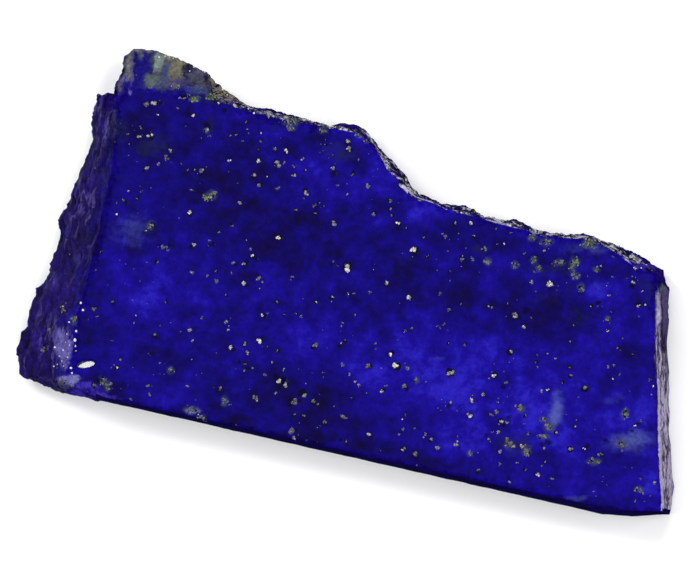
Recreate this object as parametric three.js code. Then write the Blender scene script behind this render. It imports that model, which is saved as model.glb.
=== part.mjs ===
// A rough lapis lazuli slice, in millimetres: one stone, sawn flat on its back and polished flat on
// its front. The long edge and the right-hand end are sawn, the edge opposite is the broken outside
// of the rough with a horn of pale matrix at its left end, and the left-hand end is a ledged fracture
// that slopes down from the polished face.
//
// The slice lies on its back. +X runs along the long sawn edge, +Y from that edge to the broken one,
// +Z up through the slice, and the origin is on the back, under the middle of the outline.

import * as THREE from 'three';
import { ImprovedNoise } from 'three/addons/math/ImprovedNoise.js';

const THICKNESS = 3.0;

// The whole outline is in straight sight from here, so both flat faces are fans round this point.
const FAN_CENTRE = { x: -0.5, y: -5 };

// How finely the edge is cut into facets, and how many stations one side takes to pass into the next.
const STATION_STEP = 0.42;
const UPPER_LEVELS = 9;
const LOWER_LEVELS = 4;
const BLEND_REACH = 2;

// The fracture's lumps, from coarse to fine: how many go to a millimetre, and their share of the relief.
const LUMPS = [
  { perMm: 0.55, share: 0.5 },
  { perMm: 1.2, share: 0.35 },
  { perMm: 2.6, share: 0.15 },
];
const LUMP_SEED = 7.3;
const RIDGE_SHARPNESS = 4;

// The share of the relief that the polished rim has, and the share of the way out where it is full.
const RIM_SHARE = 0.3;
const FULL_RELIEF_AT = 0.4;

// How flat the ledges lie, from 0 for a plain slope to 1, and the least that each level drops.
const LEDGE_FLATNESS = 0.8;
const LEAST_DROP = 0.04;

// The edge, side by side, anticlockwise from the lower left corner. Each point gives x and y of the
// widest outline, then x and y of the polished face's rim beside it. For each side:
//   shoulder  height of the widest outline above the back
//   undercut  how far the back's outline lies inside the widest one
//   relief    how far the lumps stand out or in
//   ledges    steps between the rim and the widest outline
const SIDES = [
  {
    name: 'chipped corner', shoulder: 1.3, undercut: 0.05, relief: 0.14, ledges: 1,
    points: [
      [-16.45, -8.55, -13.7, -7.8],
      [-15.3, -8.75, -13.45, -8.15],
      [-14.5, -8.85, -13.15, -8.4],
      [-13.6, -8.9, -12.65, -8.5],
    ],
  },
  {
    name: 'long sawn edge', shoulder: 0.3, undercut: 0.03, relief: 0.025, ledges: 0,
    points: [
      [-12.1, -8.9, -11.75, -8.65],
      [13.65, -8.95, 13.85, -8.6],
      [15.15, -8.75, 15.3, -8.4],
    ],
  },
  {
    name: 'sawn end', shoulder: 0.3, undercut: 0.03, relief: 0.06, ledges: 0,
    points: [
      [17.0, -8.25, 16.7, -8.1],
      [16.85, -6.85, 16.4, -6.95],
      [16.0, -4.05, 15.65, -4.15],
      [15.6, -2.1, 15.15, -2.25],
      [15.0, 0, 14.6, -0.15],
      [14.85, 1.3, 14.25, 1.15],
    ],
  },
  {
    name: 'bevelled corner', shoulder: 1.7, undercut: 0.25, relief: 0.12, ledges: 1,
    points: [
      [14.5, 2.65, 13.95, 2.5],
      [14.1, 3.65, 13.75, 3.2],
      [13.35, 3.95, 13.3, 3.25],
      [12.45, 4.15, 12.75, 3.4],
      [11.35, 4.35, 11.7, 3.85],
      [10.3, 4.55, 10.6, 4.3],
    ],
  },
  {
    name: 'broken edge', shoulder: 1.2, undercut: 0.35, relief: 0.16, ledges: 1,
    points: [
      [9.8, 4.55, 9.95, 4.3],
      [8.75, 4.25, 8.85, 4.05],
      [7.7, 4.15, 7.8, 3.9],
      [6.7, 4.4, 6.8, 4.05],
      [6.2, 4.5, 6.35, 4.05],
      [5.85, 4.35, 6.0, 4.05],
      [5.1, 4.5, 5.25, 4.15],
      [4.7, 4.4, 4.85, 4.15],
      [3.7, 4.6, 3.95, 4.35],
      [2.45, 4.45, 2.65, 4.2],
      [1.55, 4.7, 1.7, 4.4],
      [1.2, 4.75, 0.95, 4.6],
      [0.65, 5.15, 0.6, 4.85],
      [0.4, 5.5, 0.35, 5.25],
      [-0.05, 5.8, -0.1, 5.5],
      [-0.85, 6.3, -0.7, 5.85],
      [-1.55, 6.8, -1.4, 6.35],
      [-2.05, 7.25, -1.95, 6.85],
      [-2.55, 7.45, -2.45, 7.1],
      [-3.4, 7.35, -3.15, 7.05],
      [-3.85, 7.1, -3.55, 6.85],
      [-4.35, 7.2, -4.1, 6.9],
      [-5.3, 7.15, -5.05, 6.85],
      [-6.3, 7.25, -6.0, 6.95],
      [-7.1, 7.35, -6.85, 6.9],
      [-7.95, 7.2, -7.7, 6.95],
      [-8.6, 7.4, -8.25, 7.0],
      [-9.35, 7.75, -9.15, 7.05],
    ],
  },
  {
    name: 'matrix horn', shoulder: 2.2, undercut: 0.5, relief: 0.16, ledges: 1,
    points: [
      [-9.8, 7.95, -9.85, 7.2],
      [-10.45, 8.35, -10.45, 7.2],
      [-11.65, 8.65, -11.35, 7.1],
      [-12.5, 8.85, -12.05, 7.05],
      [-13.2, 8.9, -12.65, 7.1],
      [-13.85, 8.85, -13.2, 7.0],
      [-14.5, 8.7, -13.65, 6.9],
      [-14.7, 8.3, -13.9, 6.65],
      [-14.7, 7.55, -14.05, 6.5],
      [-14.9, 6.4, -14.3, 6.15],
    ],
  },
  {
    name: 'ledged fracture', shoulder: 0.9, undercut: 0.3, relief: 0.17, ledges: 3,
    points: [
      [-15.75, 6.2, -14.35, 5.9],
      [-15.8, 5.5, -14.3, 5.45],
      [-15.7, 4.35, -14.15, 4.55],
      [-15.7, 3.15, -14.05, 3.35],
      [-15.85, 2.3, -13.9, 2.5],
      [-16.05, 1.4, -13.85, 1.7],
      [-16.05, 0.5, -13.75, 0.85],
      [-16.35, -0.35, -13.7, 0.1],
      [-16.25, -1.5, -13.75, -0.95],
      [-16.2, -2.5, -13.75, -2.0],
      [-16.35, -3.3, -13.8, -2.85],
      [-16.7, -4.05, -13.95, -3.6],
      [-16.75, -5.2, -14.05, -4.6],
      [-16.85, -5.7, -14.05, -5.1],
      [-17.0, -6.4, -14.0, -5.75],
      [-16.95, -7.2, -13.85, -6.5],
      [-16.7, -8.05, -13.8, -7.3],
    ],
  },
];

const noise = new ImprovedNoise();

// One point of the edge, with its side's numbers beside it so that they blend from side to side.
function edgePoints() {
  return SIDES.flatMap(({ shoulder, undercut, relief, ledges, points }) =>
    points.map(([x, y, rimX, rimY]) => ({
      widest: new THREE.Vector2(x, y),
      rim: new THREE.Vector2(rimX, rimY),
      shoulder,
      undercut,
      relief,
      ledges,
    })),
  );
}

function blendStations(a, b, t) {
  const mix = (key) => THREE.MathUtils.lerp(a[key], b[key], t);
  return {
    widest: a.widest.clone().lerp(b.widest, t),
    rim: a.rim.clone().lerp(b.rim, t),
    shoulder: mix('shoulder'),
    undercut: mix('undercut'),
    relief: mix('relief'),
    ledges: mix('ledges'),
  };
}

// Stations about STATION_STEP apart, with one on every point of the edge.
function stationsRound(points) {
  const stations = points.flatMap((point, i) => {
    const next = points[(i + 1) % points.length];
    const count = Math.max(1, Math.round(point.widest.distanceTo(next.widest) / STATION_STEP));
    return Array.from({ length: count }, (_, k) => blendStations(point, next, k / count));
  });
  return stations.map((station, i) => {
    const before = stationAt(stations, i - BLEND_REACH).widest;
    const after = stationAt(stations, i + BLEND_REACH).widest;
    const along = after.clone().sub(before).normalize();
    return { ...station, ...evened(stations, i), outward: new THREE.Vector2(along.y, -along.x) };
  });
}

function stationAt(stations, i) {
  return stations[(i + stations.length) % stations.length];
}

// Each side's numbers averaged with the stations beside it, so that no side starts with a step.
function evened(stations, i) {
  const means = { shoulder: 0, undercut: 0, relief: 0, ledges: 0 };
  for (let k = -BLEND_REACH; k <= BLEND_REACH; k++) {
    for (const key of Object.keys(means)) {
      means[key] += stationAt(stations, i + k)[key] / (2 * BLEND_REACH + 1);
    }
  }
  return means;
}

// The share of the drop reached at a share of the way out: ledges make it run in steps.
function ledgeProfile(way, ledges) {
  const turns = 2 * Math.PI * ledges;
  return turns < 1 ? way : way - (LEDGE_FLATNESS * Math.sin(turns * way)) / turns;
}

// 1 on the crests between two chips, and below 0 in a chip's hollow.
function lumpAt(point) {
  return LUMPS.reduce((sum, { perMm, share }) => {
    const n = noise.noise(point.x * perMm, point.y * perMm, point.z * perMm + LUMP_SEED);
    return sum + share * (1 - RIDGE_SHARPNESS * Math.abs(n));
  }, 0);
}

// The points of one station from the rim (first) to the back's outline (last).
function stationColumn({ widest, rim, shoulder, undercut, relief, ledges, outward }) {
  const run = widest.distanceTo(rim);
  const drop = THICKNESS - shoulder;
  const slope = Math.hypot(run, drop);
  const away = widest.clone().sub(rim).normalize();
  const push = new THREE.Vector3(away.x * drop, away.y * drop, run).divideScalar(slope);
  const foot = widest.clone().addScaledVector(outward, -undercut);
  const start = new THREE.Vector3(rim.x, rim.y, THICKNESS);
  const nick = relief * RIM_SHARE * lumpAt(start);
  const column = [start.add(new THREE.Vector3(away.x * nick, away.y * nick, 0))];

  for (let level = 1; level <= UPPER_LEVELS; level++) {
    const way = level / UPPER_LEVELS;
    const plan = rim.clone().lerp(widest, way);
    const point = new THREE.Vector3(plan.x, plan.y, THICKNESS - drop * ledgeProfile(way, ledges));
    const fade = Math.min(1, RIM_SHARE + way / FULL_RELIEF_AT);
    point.addScaledVector(push, relief * fade * lumpAt(point));
    point.z = Math.min(point.z, THICKNESS - LEAST_DROP * level);
    column.push(point);
  }
  const last = column.at(-1);
  for (let level = 1; level <= LOWER_LEVELS; level++) {
    const point = last.clone().lerp(new THREE.Vector3(foot.x, foot.y, 0), level / LOWER_LEVELS);
    const lump = relief * lumpAt(point);
    column.push(point.add(new THREE.Vector3(away.x * lump, away.y * lump, 0)));
  }
  return column;
}

function fanTriangles(columns, row, centre, facesUp) {
  const rows = columns[0].length;
  return columns.flatMap((_, i) => {
    const a = i * rows + row;
    const b = ((i + 1) % columns.length) * rows + row;
    return facesUp ? [centre, a, b] : [centre, b, a];
  });
}

function wallTriangles(columns) {
  const rows = columns[0].length;
  const triangles = [];
  columns.forEach((column, i) => {
    const j = (i + 1) % columns.length;
    for (let k = 0; k < rows - 1; k++) {
      const [a, b] = [i * rows + k, j * rows + k];
      const oneWay = column[k].distanceTo(columns[j][k + 1]);
      const otherWay = column[k + 1].distanceTo(columns[j][k]);
      if (oneWay < otherWay) {
        triangles.push(a, a + 1, b + 1, a, b + 1, b);
      } else {
        triangles.push(a, a + 1, b, b, a + 1, b + 1);
      }
    }
  });
  return triangles;
}

function sliceGeometry() {
  const columns = stationsRound(edgePoints()).map(stationColumn);
  const points = columns.flat();
  const [faceCentre, backCentre] = [points.length, points.length + 1];
  points.push(new THREE.Vector3(FAN_CENTRE.x, FAN_CENTRE.y, THICKNESS));
  points.push(new THREE.Vector3(FAN_CENTRE.x, FAN_CENTRE.y, 0));

  const geometry = new THREE.BufferGeometry().setFromPoints(points);
  geometry.setIndex([
    ...fanTriangles(columns, 0, faceCentre, true),
    ...fanTriangles(columns, columns[0].length - 1, backCentre, false),
    ...wallTriangles(columns),
  ]);
  geometry.computeBoundingBox();
  const middle = geometry.boundingBox.getCenter(new THREE.Vector3());
  geometry.translate(-middle.x, -middle.y, 0);
  geometry.computeVertexNormals();
  return geometry;
}

function makeSlice() {
  const stone = new THREE.MeshStandardMaterial({ color: 0x1b128a, roughness: 0.3, metalness: 0 });
  const slice = new THREE.Mesh(sliceGeometry(), stone);
  slice.name = 'lapis_slice';
  return slice;
}

const part = new THREE.Group();
part.add(makeSlice());

export default part;
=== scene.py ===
"""The looks of a rough lapis lazuli slice that lies on its back on a pale floor, seen from above.

The stone is one fine mesh grown from the CAD solid: its flat faces are filled again with small
triangles, its broken edges are chipped, and its polished face has pits. Clouds, dark zones and the
matrix horn are weights on its points, which the material turns into colour, and so is painted light:
shade on the left and along the lower rim, black in the pits, highlights on the rim and the fracture,
and the reflection on the sawn right end. The pyrite grains are a mesh of their own, sunk into the
stone, and some small crystals among them are painted white as glints.

Lengths are in millimetres until a mesh or a light is made, and marks are placed by the pixel of the
photograph where their middle shows, 20 pixels to a millimetre.
"""

import math
import random

import bmesh
import bpy
import numpy as np
from mathutils import Matrix, Vector, kdtree, noise
from mathutils.bvhtree import BVHTree
from mathutils.geometry import delaunay_2d_cdt


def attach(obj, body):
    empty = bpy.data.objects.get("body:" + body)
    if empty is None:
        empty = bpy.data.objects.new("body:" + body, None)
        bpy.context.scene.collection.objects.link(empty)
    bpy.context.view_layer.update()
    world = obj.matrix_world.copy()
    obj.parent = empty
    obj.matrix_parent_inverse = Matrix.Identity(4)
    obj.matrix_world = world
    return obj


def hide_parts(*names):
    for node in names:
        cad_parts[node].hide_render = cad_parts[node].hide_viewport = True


MM = 0.001
SEED = 4711

# The camera: a long lens over the polished face, rolled against the slice and leaning a little.
IMAGE_WIDTH, IMAGE_HEIGHT = 700, 571
PIXELS_PER_MM = 20.0
SENSOR_WIDTH, LENS = 36.0, 300.0
ROLL = math.radians(12.6)
LEAN_RIGHT, LEAN_UP = math.radians(6), math.radians(-2)
LOOKS_AT = Vector((-0.95, -0.5, 3.0))

# The fine mesh.
WALL_CUTS = 3
FACE_SPACING = 0.098
BACK_SPACING = 0.3
RIM_REACH = 0.3
# The polished face stops where the surface tilts more than this, as the z of its normal, or lies
# deeper than this below the face's level. Its pits and its chip are polished all the same.
LEVEL_NORMAL = 0.997
POLISH_DEPTH = 0.03

# Where the sides of the stone change, in its own x and y.
LEFT_FRACTURE_X = -13.7
HORN_FOOT_Y = 5.6
SAWN_EDGE_Y = -8.3
SAWN_EDGE_LEFT_X = -12.3
SAWN_END_X = 14.2
SAWN_END_TOP_Y = 1.6

# The broken sides' layers of relief: how far each one lifts the surface, and its share of the crests.
RELIEF = {
    "facets": (0.2, 0),
    "small facets": (0.12, 1.2),
    "ridges": (0.05, 0.5),
    "small ridges": (0.03, 0.7),
    "grit": (0.025, 0.8),
}
# How the relief is drawn out along the stone's y, as scales of x, y and z.
STREAKS = (1.5, 0.55, 1.3)
# The depth of a pit as a share of its radius, and how far its outline is bent.
PIT_DEPTH = 0.1
PIT_BEND = 0.09
# The weights from which a point counts as in a pit, on the chip's edge, and on its flat floor.
PIT_EDGE, CHIP_EDGE, CHIP_FLOOR = 0.05, 0.02, 0.85

# How the marks' outlines are bent: waves to a millimetre, and their reach in pixels.
BENDS = ((0.45, 9), (1.6, 4), (4.5, 1.6))
# The half width of the dark bed of a grain, as a share of the grain's width.
BED_SHARE = 0.75

# Marks on the stone, as (u, v, half width, half height, strength), in pixels of the photograph.
MARKS = {
    "pale": [
        (150, 290, 24, 22, 0.75), (160, 185, 16, 18, 0.5), (315, 340, 28, 18, 0.6),
        (370, 375, 26, 14, 0.45), (410, 350, 20, 14, 0.6), (465, 440, 24, 16, 0.8),
        (490, 360, 24, 18, 0.4), (450, 390, 20, 12, 0.5), (520, 412, 34, 30, 1.0), (570, 470, 14, 30, 0.8),
        (495, 270, 18, 12, 0.4), (422, 217, 18, 16, 0.6), (315, 158, 20, 14, 0.4),
        (592, 290, 12, 22, 0.55), (650, 497, 18, 16, 0.7), (300, 124, 14, 8, 0.8), (560, 440, 20, 22, 0.6),
        (470, 470, 26, 8, 0.5), (240, 118, 20, 8, 0.5), (110, 330, 20, 30, 0.35), (278, 276, 14, 12, 0.5),
        (600, 345, 20, 14, 0.35), (102, 350, 10, 12, 0.6), (210, 290, 30, 16, 0.25),
        (610, 480, 20, 14, 0.4), (425, 388, 14, 20, 0.6), (475, 398, 16, 18, 0.6), (460, 425, 18, 12, 0.4),
        (640, 380, 16, 24, 0.5), (620, 430, 14, 16, 0.3), (325, 212, 10, 12, 0.3), (80, 372, 14, 10, 0.4),
        (465, 382, 30, 28, 0.8), (442, 425, 22, 14, 0.6), (118, 235, 16, 16, 0.5), (180, 340, 20, 16, 0.3),
        (345, 385, 20, 14, 0.3), (430, 262, 24, 12, 0.3), (430, 372, 20, 16, 0.7), (480, 430, 16, 16, 0.8),
        (640, 415, 24, 30, 0.6), (322, 215, 14, 16, 0.5), (650, 330, 8, 14, 0.6), (275, 425, 14, 8, 0.5),
        (325, 325, 14, 12, 0.6), (268, 136, 12, 20, 0.8), (350, 203, 12, 10, 0.6), (452, 250, 14, 10, 0.6),
        (114, 266, 20, 20, 0.7), (200, 303, 12, 12, 0.7), (122, 350, 14, 34, 0.6), (175, 388, 16, 14, 0.6),
        (425, 402, 14, 14, 0.7), (475, 410, 16, 30, 0.9), (552, 350, 14, 12, 0.8), (649, 276, 10, 9, 1.0),
        (225, 303, 12, 10, 0.4), (478, 378, 14, 12, 0.6), (476, 445, 12, 10, 0.7),
    ],
    "white": [
        (553, 413, 9, 15, 1.0), (562, 426, 8, 6, 0.3), (438, 362, 10, 4, 0.4), (633, 446, 24, 9, 0.85),
        (613, 397, 12, 6, 0.4), (134, 228, 26, 20, 0.45), (588, 250, 26, 6, 0.5), (576, 496, 12, 4, 0.6),
        (598, 292, 6, 14, 0.3), (640, 428, 14, 8, 0.3),
    ],
    # Dark zones of the stone, and painted shade: the broad soft marks on the left paint the light falling
    # off, and the thin marks along the lower rim paint a shadow.
    "dark_and_shade": [
        (150, 148, 24, 16, 0.9), (215, 180, 26, 24, 0.9), (250, 200, 20, 18, 0.9), (265, 245, 22, 16, 0.7),
        (300, 215, 18, 14, 0.8), (335, 255, 18, 14, 0.7), (405, 265, 24, 18, 0.8), (393, 208, 14, 10, 0.9),
        (510, 292, 18, 12, 0.8), (542, 308, 26, 18, 0.9), (580, 318, 22, 16, 0.8), (560, 340, 20, 12, 0.6),
        (630, 355, 18, 12, 0.7), (475, 325, 14, 10, 0.6), (330, 400, 30, 16, 0.7), (320, 432, 44, 12, 0.7),
        (240, 375, 22, 14, 0.5), (420, 420, 14, 10, 0.5), (92, 330, 14, 26, 0.7), (600, 482, 16, 8, 0.5),
        (290, 262, 20, 12, 0.6), (215, 395, 24, 10, 0.6), (118, 388, 14, 10, 0.9), (395, 300, 18, 12, 0.4),
        (245, 225, 16, 10, 0.7), (465, 290, 20, 12, 0.6), (182, 265, 18, 12, 0.3), (345, 212, 16, 14, 0.5),
        (380, 430, 26, 12, 0.4), (108, 385, 22, 8, 0.7), (150, 118, 34, 18, 1.0), (190, 128, 26, 16, 0.8),
        (215, 112, 24, 10, 0.6), (128, 140, 16, 26, 0.7), (190, 155, 20, 14, 0.5), (112, 195, 12, 30, 0.7),
        (98, 255, 12, 36, 0.8), (84, 300, 10, 26, 0.7), (205, 222, 18, 14, 0.5), (590, 276, 26, 10, 0.6),
        (275, 126, 10, 8, 0.7), (298, 150, 12, 8, 0.7), (402, 201, 12, 7, 0.9), (196, 208, 14, 8, 1.0),
        (625, 275, 14, 12, 0.7), (245, 365, 22, 22, 0.6), (255, 395, 20, 14, 0.5), (640, 325, 14, 14, 0.3),
        (290, 180, 14, 12, 0.3), (352, 155, 10, 10, 0.5), (155, 170, 80, 80, 0.45),
        (235, 365, 50, 60, 0.45), (530, 295, 60, 34, 0.4), (308, 140, 20, 20, 0.5),
        (135, 128, 34, 20, 1.3), (248, 388, 36, 24, 0.9), (520, 280, 34, 16, 0.8), (505, 430, 16, 14, 0.9),
        (185, 150, 24, 14, 0.9), (202, 196, 12, 10, 0.9), (385, 205, 18, 10, 1.1), (410, 232, 46, 12, 0.7),
        (310, 437, 34, 7, 1.3), (370, 449, 30, 7, 1.3), (425, 460, 30, 7, 1.1), (470, 472, 20, 6, 0.9),
        (250, 424, 30, 6, 0.9), (165, 175, 16, 40, 0.6), (205, 200, 14, 12, 1.2), (560, 503, 40, 6, 0.9),
        (238, 200, 30, 14, 0.5), (165, 138, 60, 28, 0.75), (350, 158, 12, 8, 1.0), (548, 262, 40, 8, 0.6),
        (640, 280, 14, 10, 0.8), (250, 390, 20, 20, 0.8), (180, 110, 24, 10, 0.8), (225, 155, 20, 14, 0.8),
        (498, 300, 14, 10, 1.0), (502, 252, 12, 8, 1.0), (240, 275, 26, 12, 0.9), (212, 225, 22, 12, 1.0),
        (225, 378, 14, 12, 0.9), (275, 376, 14, 12, 0.9), (275, 178, 14, 10, 0.8), (275, 212, 20, 14, 0.7),
        (548, 462, 14, 14, 0.8), (618, 272, 30, 8, 1.0), (550, 428, 12, 8, 0.7), (395, 285, 10, 10, 0.6),
        (620, 506, 40, 5, 0.9), (645, 300, 14, 20, 0.5), (300, 420, 60, 14, 0.6),
    ],
    "slate": [
        (155, 148, 22, 14, 0.9), (138, 232, 20, 22, 0.6), (545, 300, 26, 14, 0.6), (578, 318, 20, 12, 0.6),
        (405, 262, 18, 14, 0.55), (250, 205, 20, 16, 0.35), (208, 128, 14, 12, 0.6),
        (480, 250, 16, 10, 0.7), (120, 130, 14, 12, 0.8), (556, 266, 46, 10, 0.7), (338, 152, 18, 12, 0.8),
        (515, 440, 22, 16, 0.8), (645, 288, 12, 20, 0.7), (205, 104, 10, 5, 0.9), (275, 128, 12, 10, 0.6),
        (628, 450, 16, 10, 0.6), (575, 292, 40, 10, 0.5), (125, 360, 20, 14, 0.4),
    ],
    "stonegrey": [
        (191, 410, 9, 4, 0.7), (289, 116, 8, 4, 0.8), (66, 381, 14, 6, 1.4), (322, 128, 6, 3, 0.6),
    ],
    "lilac": [
        (66, 345, 9, 22, 1.0), (72, 330, 4, 14, 0.7), (111, 130, 5, 26, 0.65), (104, 122, 3, 14, 0.6),
        (128, 92, 3, 12, 0.8), (104, 180, 4, 10, 0.5), (117, 83, 3, 9, 1.1), (82, 195, 4, 10, 0.4),
        (50, 300, 6, 10, 0.4), (120, 112, 3, 10, 0.5), (108, 92, 3, 5, 0.5),
    ],
    "violet": [
        (86, 391, 14, 5, 1.3), (102, 398, 16, 3.5, 1.2), (70, 375, 6, 8, 0.6), (60, 330, 4, 12, 0.5),
        (646, 267, 10, 3.5, 1.0),
    ],
}
# The same for the zones of the matrix horn and of the right end, whose marks are squarer.
EDGE_MARKS = {
    "matrix": [
        (172, 68, 24, 18, 1.2), (154, 80, 14, 7, 0.9), (205, 78, 22, 16, 1.1), (220, 90, 14, 10, 1.0),
    ],
    "hornblue": [(143, 70, 10, 15, 1.3), (132, 84, 10, 6, 1.1), (178, 93, 10, 3, 0.7)],
    "ash": [
        (128, 63, 4.5, 13, 1.2), (125, 74, 4, 6, 1.1), (135, 51, 12, 2.5, 1.0), (118, 85, 3, 6, 0.7),
        (148, 52, 4, 2, 0.8),
    ],
    "olivebed": [
        (154, 79, 8, 7, 1.2), (140, 55, 2.5, 4.5, 0.9), (163, 87, 5, 2, 0.6), (662, 289, 4, 4, 0.9),
    ],
    "tan": [(178, 68, 8, 10, 1.3), (168, 57, 10, 3, 1.0)],
    "teal": [(159, 62, 5.5, 7, 1.3)],
    "azure": [(166.5, 73, 3.5, 9, 1.1), (197, 92, 9, 3.5, 0.8)],
    "purple": [
        (176, 85, 6, 4, 0.9), (131, 70, 1.6, 15, 1.0), (119, 86, 5, 8, 0.6), (205, 72, 9, 3, 0.9),
        (197, 89, 8, 2, 0.5),
    ],
    "navy": [
        (189, 70, 5.5, 5.5, 0.9), (187, 76, 1.8, 7, 1.0), (205, 80, 3.5, 6, 1.0), (153, 66, 1.8, 9, 0.8),
        (196, 81, 6, 4, 0.45), (212, 104, 6, 3, 0.9), (232, 107, 5, 2.5, 0.9), (244, 111, 6, 2, 0.9),
        (192, 87, 6, 1.5, 0.8),
    ],
    "rind": [(218, 91, 6, 8, 1.2), (229, 97, 10, 5, 1.2), (244, 104, 10, 3.5, 1.1), (211, 84, 4, 5, 0.8)],
    "veined": [(660, 350, 7, 24, 0.8), (663, 400, 7, 40, 1.0), (664, 460, 5, 50, 1.0)],
    "cracked": [(232, 98, 16, 9, 1.1), (214, 90, 6, 10, 0.8), (195, 68, 14, 5, 0.6)],
}
# Lines along the rim, as (half width, strength, points), in pixels of the photograph.
RIM_LINES = {
    # The crust along the broken upper edge: grey flakes and black cracks, with white flakes that are painted
    # glints.
    "crust_and_glints": [
        (2.4, 0.8, [(236, 105), (262, 112), (300, 121), (340, 128), (362, 131)]),
        (3.2, 0.75, [(364, 131), (375, 143), (390, 163)]),
        (4.6, 1.2, [(390, 163), (400, 177), (410, 188), (420, 195)]),
        (1.7, 0.7, [(420, 195), (438, 204), (456, 209)]),
        (3.4, 0.8, [(456, 209), (476, 213), (498, 220), (520, 226)]),
        (2.2, 0.75, [(520, 226), (550, 234), (598, 240)]),
        (4.0, 0.75, [(598, 240), (614, 247), (638, 260)]),
        (2.4, 0.45, [(638, 260), (662, 272)]),
    ],
    # Painted reflection on the sawn right end, pale where the end mirrors the bright floor.
    "painted_end_reflection": [
        (2.8, 0.75, [(658, 294), (658, 350)]),
        (5.0, 1.1, [(661, 356), (664, 385), (666, 430), (668, 512)]),
    ],
    # A dimmer painted reflection on the end's outer band.
    "painted_dim_end_reflection": [(3.2, 1.0, [(665, 292), (665.5, 340), (667, 356)])],
    # Painted highlights: thin pale lines where the rim's edge catches the light.
    "painted_rim_highlight": [
        (1.3, 0.85, [(380, 155), (396, 178), (415, 196)]),
        (1.3, 0.75, [(415, 196), (432, 202), (446, 209)]),
        (1.3, 0.75, [(484, 219), (505, 225), (522, 229), (548, 237)]),
        (1.8, 0.75, [(600, 243), (620, 254), (637, 269)]),
        (1.3, 0.7, [(656, 296), (656, 345), (658, 380)]),
        (1.2, 0.62, [(146, 51), (165, 54), (186, 65), (205, 75)]),
        (1.7, 1.1, [(658, 380), (659, 400), (662, 512)]),
    ],
}

# Pyrite grains on the polished face, as (u, v, width) in pixels, by how they shine.
BRIGHT_GRAINS = [
    (153, 103, 7), (158, 115, 3), (193, 115, 5), (171, 86, 2), (219, 103, 3), (139, 137, 5), (150, 136, 7),
    (194, 170, 3), (229, 160, 5), (128, 191, 3), (190, 213, 6), (116, 215, 4), (261, 133, 2),
    (286, 151, 5), (259, 161, 5), (267, 176, 3), (306, 193, 6), (278, 238, 6), (347, 142, 6),
    (349, 149, 6), (333, 168, 5), (398, 223, 5), (269, 116, 7), (413, 250, 7), (409, 297, 6),
    (515, 315, 7), (470, 224, 6), (504, 244, 3), (544, 251, 4), (550, 284, 7), (601, 266, 3),
    (615, 252, 3), (634, 261, 3), (635, 269, 3), (650, 271, 4), (633, 282, 5), (642, 291, 3),
    (639, 306, 5), (646, 305, 4), (608, 331, 3), (194, 245, 5), (244, 265, 6), (253, 256, 5),
    (244, 283, 5), (260, 289, 3), (136, 316, 3), (228, 330, 3), (231, 347, 5), (259, 341, 6),
    (117, 368, 4), (347, 268, 9), (386, 283, 6), (316, 302, 3), (262, 315, 4), (391, 354, 6),
    (395, 365, 8), (451, 374, 9), (494, 375, 5), (510, 352, 6), (472, 401, 6), (470, 415, 7),
    (402, 419, 3), (586, 388, 7), (548, 390, 4), (613, 379, 2), (653, 386, 3), (538, 475, 5),
    (575, 426, 4), (584, 449, 4), (635, 426, 4), (635, 490, 3), (198, 414, 3), (278, 381, 7),
    (285, 385, 6), (303, 395, 8), (369, 435, 6),
]
OLIVE_GRAINS = [
    (170, 151, 6), (166, 158, 7), (201, 170, 6), (215, 193, 6), (210, 197, 7), (207, 200, 4),
    (151, 225, 5), (278, 164, 8), (333, 223, 8), (488, 262, 6), (226, 322, 5), (120, 360, 4),
    (520, 408, 5), (542, 391, 5), (620, 375, 4), (343, 418, 8), (291, 431, 8),
]
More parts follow.
